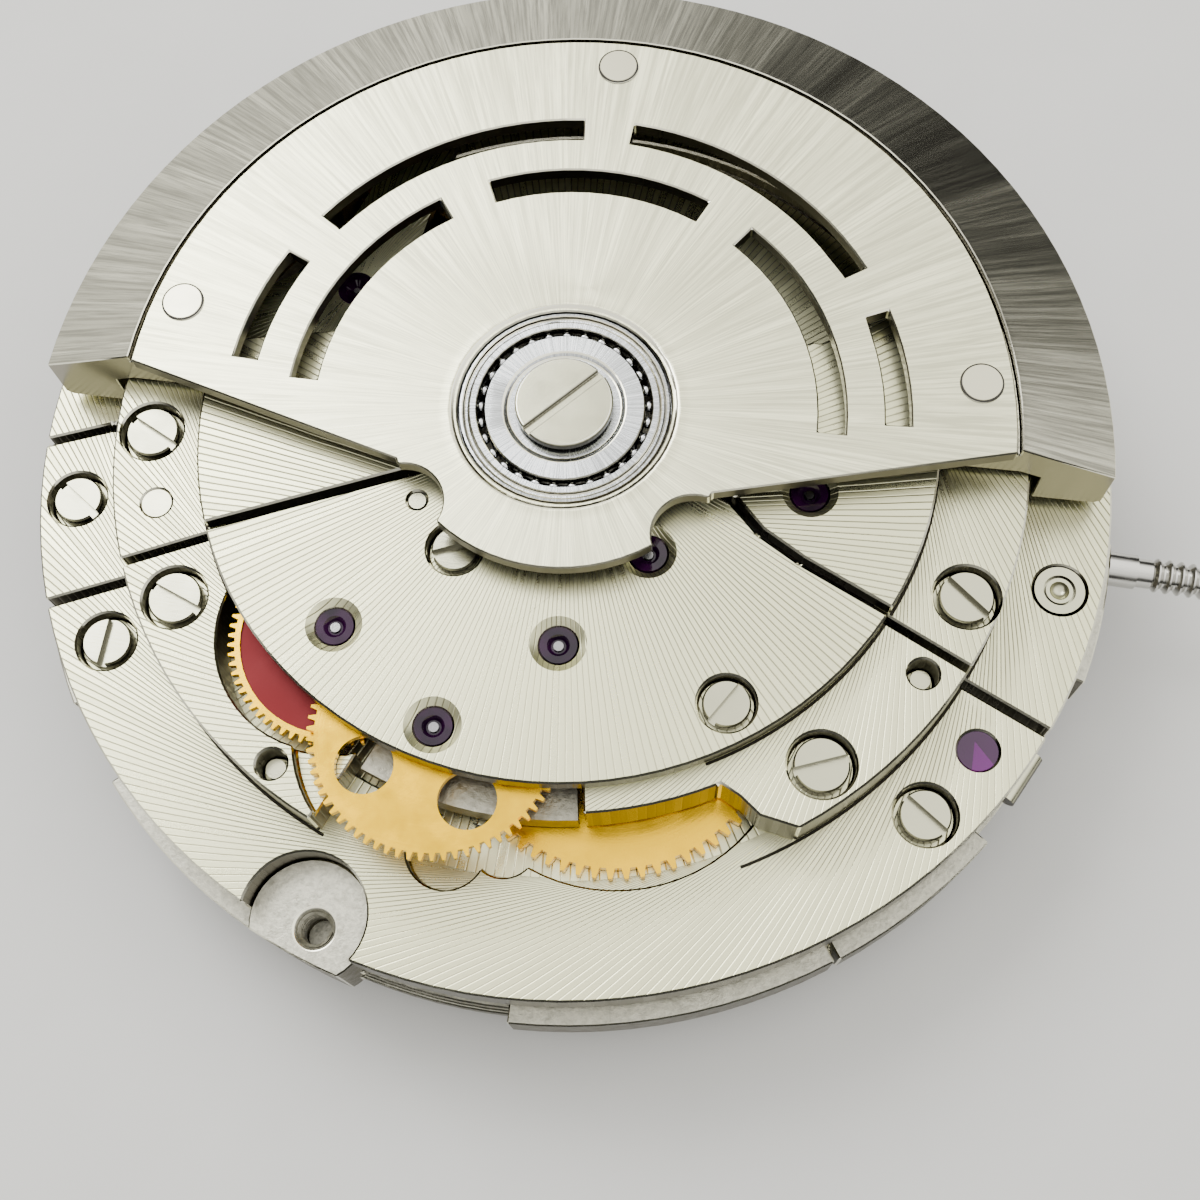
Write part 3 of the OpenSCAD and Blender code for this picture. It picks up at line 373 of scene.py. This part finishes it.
def ruby(name, base, glow, vivid_at, vivid):
    """Dark synthetic ruby; the one at vivid_at is seen in its full colour, with a painted
    highlight on one facet.
    """
    t = Tree(name)
    vec = t.coords()
    depth = t.noise(vec, RUBY_CLOUD)
    colour = t.mix(t.span(depth, 0.35, 0.7, 0, 1), base, glow)
    to_vivid = {0: vec, 1: Vector(vivid_at) * MM}
    away = t.add("VectorMath", to_vivid, operation="DISTANCE").outputs["Value"]
    x, y, _ = t.split(t.add("VectorMath", to_vivid, operation="SUBTRACT").outputs[0])
    # Painted highlight: one facet of the vivid ruby, made brighter
    right = t.math("GREATER_THAN", x, FACET_LEFT * MM)
    below = t.math("LESS_THAN", t.math("ADD", y, x), FACET_TOP * MM)
    with_facet_highlight = t.mix(t.math("MULTIPLY", right, below), vivid, scaled(vivid, FACET_HIGHLIGHT))
    colour = t.mix(t.math("LESS_THAN", away, VIVID_NEAR * MM), colour, with_facet_highlight)
    return t.shader(Base_Color=colour, Metallic=0.0, IOR=1.5, Transmission_Weight=0.2,
                    Normal=t.bump(t.noise(vec, RUBY_SATIN_SCALE), RUBY_SATIN_DEPTH * MM),
                    Roughness=t.span(depth, NOISE_LOW, NOISE_HIGH, 0.04, 0.1))


PEEL_DEPTH, PEEL_SCALE = 0.002, 12000.0
CLOUD_SCALE, CLOUD_DARK = 600.0, 0.85


def lacquer(name, base, rough, metal):
    """Painted or printed surface with a faint orange peel."""
    t = Tree(name)
    vec = t.coords()
    peel = t.noise(vec, PEEL_SCALE, detail=3.0, rough=0.6)
    cloud = t.noise(vec, CLOUD_SCALE, detail=3.0)
    return t.shader(Base_Color=t.mix(cloud, scaled(base, CLOUD_DARK), base), Metallic=metal,
                    Normal=t.bump(peel, PEEL_DEPTH * MM),
                    Roughness=t.gloss(cloud, rough, 0.06, 0.08))


# ---- materials per node --------------------------------------------------

EDGE = polished("edge_polish", rgb(240, 238, 218), rough=0.1, shaded=rgb(84, 81, 70))
STEEL = polished("hardened_steel", rgb(206, 205, 200), rough=0.16, depth=2.0)
# Screw heads: painted shade on their upright faces
SCREW = polished("screw_steel", rgb(198, 197, 170), rough=0.22, depth=1.5, wall_shade=rgb(58, 55, 47))
BALL = polished("ball_steel", rgb(220, 222, 226), rough=0.06)
SPRING = polished("spring_steel", rgb(120, 128, 140), rough=0.25)
BLUE = polished("hairspring_blue", rgb(96, 112, 150), rough=0.2)
GRAIN = grained("plate_grain", rgb(202, 200, 184))
LOWER = grained("lower_plate_grain", rgb(170, 167, 152), rough=0.34, scale=7000.0, depth=1.4)
# Painted shade on the upright faces of the rotor plate, weight and race
ROTOR = brushed("rotor_brushed", rgb(248, 247, 212), lines=95.0, rough=0.32, aniso=0.4,
                depth=0.4, dark=0.6)
WEIGHT = brushed("weight_brushed", rgb(226, 224, 204), lines=110.0, rough=0.24, aniso=0.3,
                 depth=0.8, dark=0.45, wall_shade=rgb(150, 146, 132))
RACE = brushed("race_brushed", rgb(228, 232, 234), lines=110.0, rough=0.24, aniso=0.4,
               depth=0.6, dark=0.45)
RED = lacquer("red_disc", rgb(108, 0, 10), rough=0.42, metal=0.5)
ENAMEL = lacquer("date_enamel", rgb(236, 234, 226), rough=0.45, metal=0.0)
JEWEL = ruby("ruby", base=rgb(22, 3, 28), glow=rgb(52, 10, 56),
             vivid_at=(11.123, -6.107, 2.9), vivid=rgb(62, 0, 66))

# Lines and step of the middle level, and of the outer level
MIDDLE_LEVEL = dict(lines=290, hug=8.6, step=9.22)
OUTER_LEVEL = dict(lines=300, hug=11.0, step=11.49)

FINISH = {
    "automatic_bridge": striped("fan_auto", AXIS, lines=300),
    "automatic_bridge_left": striped("fan_auto_left", (3.6, -3.3), lines=430),
    # Painted shade: dimmer copy of the plating for this bridge
    "automatic_bridge_right": striped("fan_auto_right", (-0.8, -2.6), lines=330, tint=0.96),
    "frame_left": striped("fan_frame_left", AXIS, **MIDDLE_LEVEL),
    "frame_lower_left": striped("fan_frame_lower_left", AXIS, **MIDDLE_LEVEL),
    "frame_lower_right": striped("fan_frame_lower_right", AXIS, **MIDDLE_LEVEL),
    # Painted shade: dimmer copy of the plating for this bridge
    "frame_right": striped("fan_frame_right", AXIS, tint=0.94, **MIDDLE_LEVEL),
    "barrel_bridge": striped("fan_barrel", AXIS, **OUTER_LEVEL),
    "left_bridge": striped("fan_left", AXIS, **OUTER_LEVEL),
    "rear_bridge": striped("fan_rear", AXIS, **OUTER_LEVEL),
    # Painted shade: dimmer copy of the plating for this bridge
    "winding_bridge": striped("fan_winding", AXIS, tint=0.94, **OUTER_LEVEL),
    "balance_bridge": striped("fan_balance", (-6.6, 3.8), lines=160),
    "pallet_bridge": striped("fan_pallet", (-2.2, 3.1), lines=160),
    "main_plate": GRAIN, "calendar_plate": GRAIN, "automatic_plate": LOWER,
    "cannon_pinion": STEEL, "setting_wheel": STEEL, "winding_stem": STEEL,
    "winding_pinion": STEEL, "sliding_pinion": STEEL, "setting_lever": STEEL, "yoke": STEEL,
    "crown_wheel": STEEL, "barrel_arbor": STEEL, "click": STEEL, "escape_wheel": STEEL,
    "pallet_fork": STEEL, "mainspring": SPRING, "hairspring": BLUE,
    "release_button": SCREW, "dial_foot_screws": SCREW, "bridge_screws": SCREW,
    "locating_pins": SCREW, "rotor_screw": SCREW,
    "date_ring": ENAMEL, "driving_disc": RED, "driven_disc": RED, "jewels": JEWEL,
    "bearing_inner_race": RACE, "rotor_hub": RACE, "bearing_balls": BALL,
    "rotor_plate": ROTOR, "rotor_weight": WEIGHT,
}

GILT = rgb(255, 202, 0)
BRASS = rgb(214, 172, 88)

# Colour of each wheel and the radius of its steel arbor, 0 where none shows
WHEELS = {
    "ratchet_wheel": (GILT, 0.0), "winding_wheel": (GILT, 0.26),
    "driving_reverser": (GILT, 0.26), "driven_reverser": (GILT, 0.0),
    "driven_pinion": (GILT, 0.26), "idler_wheel": (GILT, 0.21), "reduction_wheel": (GILT, 0.26),
    "mainspring_barrel": (BRASS, 0.0), "second_wheel": (BRASS, 0.21),
    "third_wheel": (BRASS, 0.21), "seconds_wheel": (BRASS, 0.21), "hour_wheel": (BRASS, 0.0),
    "minute_wheel": (BRASS, 0.0), "date_wheel": (BRASS, 0.0), "balance_wheel": (BRASS, 0.2),
}


def middle(node):
    """Centre of a node's box in the plane of the movement."""
    lo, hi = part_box(node)
    return (lo[0] + hi[0]) / 2 / MM, (lo[1] + hi[1]) / 2 / MM


for wheel, (metal, core) in WHEELS.items():
    FINISH[wheel] = turned("turned_" + wheel, middle(wheel), metal, core)


# ---- edges and smoothing -------------------------------------------------

BRIDGE_BEVEL = 0.05
BEVEL = {
    "automatic_bridge": BRIDGE_BEVEL, "automatic_bridge_left": BRIDGE_BEVEL,
    "automatic_bridge_right": BRIDGE_BEVEL, "frame_left": BRIDGE_BEVEL,
    "frame_lower_left": BRIDGE_BEVEL, "frame_lower_right": BRIDGE_BEVEL,
    "frame_right": BRIDGE_BEVEL, "barrel_bridge": BRIDGE_BEVEL, "left_bridge": BRIDGE_BEVEL,
    "rear_bridge": BRIDGE_BEVEL, "winding_bridge": BRIDGE_BEVEL,
    "rotor_plate": 0.035, "rotor_hub": 0.02, "bearing_inner_race": 0.03, "rotor_weight": 0.03,
    "rotor_screw": 0.02, "main_plate": 0.04,
}

WELD_DISTANCE = 1e-6  # metres
FLAT_ANGLE = math.radians(0.5)
BEVEL_ANGLE = math.radians(40)
SMOOTH_ANGLE = math.radians(32)
BIG_FACES_FIRST = 100


def smooth_group(limit):
    """Modifier that smooths all but the edges sharper than the limit."""
    g = bpy.data.node_groups.new("smooth_by_angle", "GeometryNodeTree")
    for way in ("INPUT", "OUTPUT"):
        g.interface.new_socket("Geometry", in_out=way, socket_type="NodeSocketGeometry")
    start = g.nodes.new("NodeGroupInput")
    end = g.nodes.new("NodeGroupOutput")
    faces = g.nodes.new("GeometryNodeSetShadeSmooth")
    edges = g.nodes.new("GeometryNodeSetShadeSmooth")
    edges.domain = "EDGE"
    edges.inputs["Shade Smooth"].default_value = False
    angle = g.nodes.new("GeometryNodeInputMeshEdgeAngle")
    sharp = g.nodes.new("FunctionNodeCompare")
    sharp.data_type = "FLOAT"
    sharp.operation = "GREATER_THAN"
    sharp.inputs[1].default_value = limit
    g.links.new(angle.outputs[0], sharp.inputs[0])
    g.links.new(start.outputs[0], faces.inputs["Geometry"])
    g.links.new(faces.outputs[0], edges.inputs["Geometry"])
    g.links.new(sharp.outputs[0], edges.inputs["Selection"])
    g.links.new(edges.outputs[0], end.inputs[0])
    return g


SMOOTH = smooth_group(SMOOTH_ANGLE)


def finish_node(name, obj):
    """Material, polished bevels and smoothing of a CAD node."""
    mats = obj.data.materials
    mats.clear()
    mats.append(FINISH[name])
    normals = obj.data.attributes.get("custom_normal")
    if normals:
        obj.data.attributes.remove(normals)
    weld = obj.modifiers.new("weld", "WELD")
    weld.merge_threshold = WELD_DISTANCE
    if name in BEVEL:
        mats.append(EDGE)
        flat = obj.modifiers.new("flat", "DECIMATE")
        flat.decimate_type = "DISSOLVE"
        flat.angle_limit = FLAT_ANGLE
        bevel = obj.modifiers.new("bevel", "BEVEL")
        bevel.width = BEVEL[name] * MM
        bevel.segments = 1
        bevel.limit_method = "ANGLE"
        bevel.angle_limit = BEVEL_ANGLE
        bevel.material = 1
        bevel.use_clamp_overlap = False
    smooth = obj.modifiers.new("smooth", "NODES")
    smooth.node_group = SMOOTH
    if name in BEVEL:
        flat_tops = obj.modifiers.new("flat_tops", "WEIGHTED_NORMAL")
        flat_tops.keep_sharp = True
        flat_tops.weight = BIG_FACES_FIRST


for node_name, node_obj in NODES.items():
    finish_node(node_name, node_obj)


# ---- added pieces --------------------------------------------------------

RIVET = polished("rivet_polish", rgb(212, 209, 184), rough=0.2)
# Painted shadow: dark band laid round each rivet head, where its seam is in shade
SEAM_SHADE = lacquer("seam_shadow", rgb(38, 36, 32), rough=0.6, metal=0.3)
INK = lacquer("date_ink", rgb(24, 24, 28), rough=0.5, metal=0.0)


def new_piece(name, verts, faces, mat, body, smooth=True):
    """Mesh piece that rides on a body."""
    mesh = bpy.data.meshes.new(name)
    mesh.from_pydata([Vector(v) * MM for v in verts], [], faces)
    mesh.validate()
    mesh.materials.append(mat)
    obj = bpy.data.objects.new(name, mesh)
    bpy.context.scene.collection.objects.link(obj)
    if smooth:
        obj.modifiers.new("smooth", "NODES").node_group = SMOOTH
    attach(obj, body)
    return obj


def lathe(name, profile, centre, mat, body, steps=64):
    """Closed ring or disc turned about a vertical axis; profile is (radius, height)."""
    verts, faces = [], []
    n = len(profile)
    for k in range(steps):
        a = math.tau * k / steps
        c, s = math.cos(a), math.sin(a)
        verts += [(centre[0] + r * c, centre[1] + r * s, z) for r, z in profile]
    for k in range(steps):
        m = (k + 1) % steps
        for i in range(n):
            j = (i + 1) % n
            faces.append((k * n + i, m * n + i, m * n + j, k * n + j))
    return new_piece(name, verts, faces, mat, body)


def spot(radius, angle):
    """Point at a radius and an angle in degrees about the movement's axis."""
    return radius * math.cos(math.radians(angle)), radius * math.sin(math.radians(angle))


ROTOR_REST = 92.6
RIVET_TURNS = (-80, 0, 80)
RIVET_REACH = 10.13
RIVET_SUNK = 0.02
RIVET_R, RIVET_TOP_R, RIVET_PROUD = 0.492, 0.479, 0.013
RIVET_EYE = 0.001
SEAM_IN, SEAM_OUT, SEAM_PROUD = 0.48, 0.525, 0.002


def add_rivets():
    """Flat rivet heads level with the rotor plate, each ringed by a raised dark band: painted
    shadow at its seam.
    """
    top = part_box("rotor_plate")[1][2] / MM
    foot = top - RIVET_SUNK
    seam = [(SEAM_IN, foot), (SEAM_OUT, foot), (SEAM_OUT, top + SEAM_PROUD),
            (SEAM_IN, top + SEAM_PROUD)]
    head = [(RIVET_EYE, foot), (RIVET_R, foot), (RIVET_R, top),
            (RIVET_TOP_R, top + RIVET_PROUD), (RIVET_EYE, top + RIVET_PROUD)]
    for i, turn in enumerate(RIVET_TURNS, 1):
        at = spot(RIVET_REACH, ROTOR_REST + turn)
        lathe(f"rivet_seam_shade_{i}", seam, at, SEAM_SHADE, "rotor")
        lathe(f"rivet_head_{i}", head, at, RIVET, "rotor")


CASING_ANGLES = (253.5, 73.5)
CASING_REACH = 13.47
THREAD_TURNS, THREAD_STEPS, THREAD_PITCH = 5, 40, 0.17
THREAD_FOOT = 1.15
THREAD_WALL_R, THREAD_CREST_R = 0.436, 0.36
CREST_FROM, CREST_TO = 0.07, 0.1


def add_threads():
    """Screw thread inside both casing-screw holes."""
    section = ((THREAD_WALL_R, 0.0), (THREAD_CREST_R, CREST_FROM),
               (THREAD_CREST_R, CREST_TO), (THREAD_WALL_R, THREAD_PITCH))
    n = len(section)
    count = THREAD_TURNS * THREAD_STEPS
    for i, angle in enumerate(CASING_ANGLES, 1):
        cx, cy = spot(CASING_REACH, angle)
        verts, faces = [], []
        for k in range(count + 1):
            b = math.tau * k / THREAD_STEPS
            z = THREAD_FOOT + THREAD_PITCH * k / THREAD_STEPS
            verts += [(cx + r * math.cos(b), cy + r * math.sin(b), z + dz) for r, dz in section]
        for k in range(count):
            for j in range(n):
                m = (j + 1) % n
                faces.append((k * n + j, k * n + m, k * n + n + m, k * n + n + j))
        last = count * n
        faces += [(0, 3, 2, 1), (last, last + 1, last + 2, last + 3)]
        new_piece(f"casing_thread_{i}", verts, faces, GRAIN, "root")


DAYS = 31
DIGIT_SIZE = 1.15
DIGIT_THICK = 0.004
DIGIT_GAP = 0.002
DIGIT_REACH = 11.38


def add_numerals():
    """Numbers 1 to 31 on the dial side of the date ring."""
    face_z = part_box("date_ring")[0][2] / MM
    verts, faces = [], []
    for day in range(1, DAYS + 1):
        curve = bpy.data.curves.new("digits", "FONT")
        curve.body = str(day)
        curve.size = DIGIT_SIZE
        curve.align_x = "CENTER"
        curve.align_y = "CENTER"
        curve.extrude = DIGIT_THICK
        obj = bpy.data.objects.new("digits", curve)
        bpy.context.scene.collection.objects.link(obj)
        bpy.context.view_layer.update()
        depsgraph = bpy.context.evaluated_depsgraph_get()
        mesh = bpy.data.meshes.new_from_object(obj.evaluated_get(depsgraph))
        a = -math.tau * (day - 1) / DAYS
        c, s = math.cos(a), math.sin(a)
        base = len(verts)
        for v in mesh.vertices:
            x, y = -v.co.x, v.co.y + DIGIT_REACH
            verts.append((x * c - y * s, x * s + y * c, face_z - DIGIT_GAP - v.co.z))
        faces += [tuple(base + i for i in p.vertices) for p in mesh.polygons]
        bpy.data.objects.remove(obj)
        bpy.data.curves.remove(curve)
        bpy.data.meshes.remove(mesh)
    new_piece("date_numerals", verts, faces, INK, "date_ring", smooth=False)


add_rivets()
add_threads()
add_numerals()


# ---- stage ---------------------------------------------------------------

FLOOR_HALF = 3.0  # metres
FLOOR_DARK, FLOOR_LIGHT = rgb(205, 205, 203), rgb(212, 212, 210)


def make_floor():
    """Plain pale floor under the lowest point of the movement."""
    lo, hi = CAD_BOX
    mid = (lo + hi) / 2
    corners = [(mid[0] + x * FLOOR_HALF, mid[1] + y * FLOOR_HALF, lo[2])
               for x, y in ((-1, -1), (1, -1), (1, 1), (-1, 1))]
    mesh = bpy.data.meshes.new("floor")
    mesh.from_pydata(corners, [], [(0, 1, 2, 3)])
    floor = bpy.data.objects.new("floor", mesh)
    bpy.context.scene.collection.objects.link(floor)
    t = Tree("floor_paper")
    paper = t.mix(t.noise(t.coords(), 300.0, detail=3.0), FLOOR_DARK, FLOOR_LIGHT)
    mesh.materials.append(t.shader(Base_Color=paper, Roughness=0.8))


def area(name, at, to, size, power):
    """Square area light; at, to and size are in metres, power in watts."""
    data = bpy.data.lights.new(name, "AREA")
    data.size = size
    data.energy = power
    obj = bpy.data.objects.new(name, data)
    bpy.context.scene.collection.objects.link(obj)
    at, to = Vector(at), Vector(to)
    turn = (to - at).to_track_quat("-Z", "Y").to_matrix().to_4x4()
    obj.matrix_world = Matrix.Translation(at) @ turn


STUDIO_WHITE = (1.0, 0.985, 0.94, 1)

# Each part of the surroundings: direction of its middle, cosines of the angle from it where it
# starts and is full, and its level outside and inside
SKY = ((0, 0, 1), 0.25, 0.8, 0.05, 1.7)
BACK_LEFT = ((-0.62, 0.75, 0.22), 0.5, 0.95, 0.0, 1.25)
HIGH_RIGHT = ((0.6, 0.3, 0.75), 0.6, 1.0, 0.0, 1.0)
BACK_SHADE = ((0.4, 0.87, 0.2), 0.8, 0.97, 1.0, 0.08)


def make_world():
    """Soft box overhead, more light from the back left and high right, shade at the back."""
    w = bpy.data.worlds.new("studio")
    bpy.context.scene.world = w
    w.use_nodes = True
    nt = w.node_tree
    nt.nodes.clear()
    out = nt.nodes.new("ShaderNodeOutputWorld")
    background = nt.nodes.new("ShaderNodeBackground")
    coords = nt.nodes.new("ShaderNodeTexCoord")

    def lobe(direction, *limits):
        dot = nt.nodes.new("ShaderNodeVectorMath")
        dot.operation = "DOT_PRODUCT"
        dot.inputs[1].default_value = Vector(direction).normalized()
        nt.links.new(coords.outputs["Generated"], dot.inputs[0])
        span = nt.nodes.new("ShaderNodeMapRange")
        span.interpolation_type = "SMOOTHSTEP"
        nt.links.new(dot.outputs["Value"], span.inputs[0])
        for i, v in enumerate(limits, 1):
            span.inputs[i].default_value = v
        return span.outputs[0]

    def join(op, a, b):
        n = nt.nodes.new("ShaderNodeMath")
        n.operation = op
        nt.links.new(a, n.inputs[0])
        nt.links.new(b, n.inputs[1])
        return n.outputs[0]

    light = join("ADD", join("ADD", lobe(*SKY), lobe(*BACK_LEFT)), lobe(*HIGH_RIGHT))
    nt.links.new(join("MULTIPLY", light, lobe(*BACK_SHADE)), background.inputs[1])
    background.inputs[0].default_value = STUDIO_WHITE
    nt.links.new(background.outputs[0], out.inputs[0])


make_camera()
make_floor()
make_world()
area("key", at=(-0.10, 0.08, 0.16), to=(0, 0, 0), size=0.10, power=0.26)
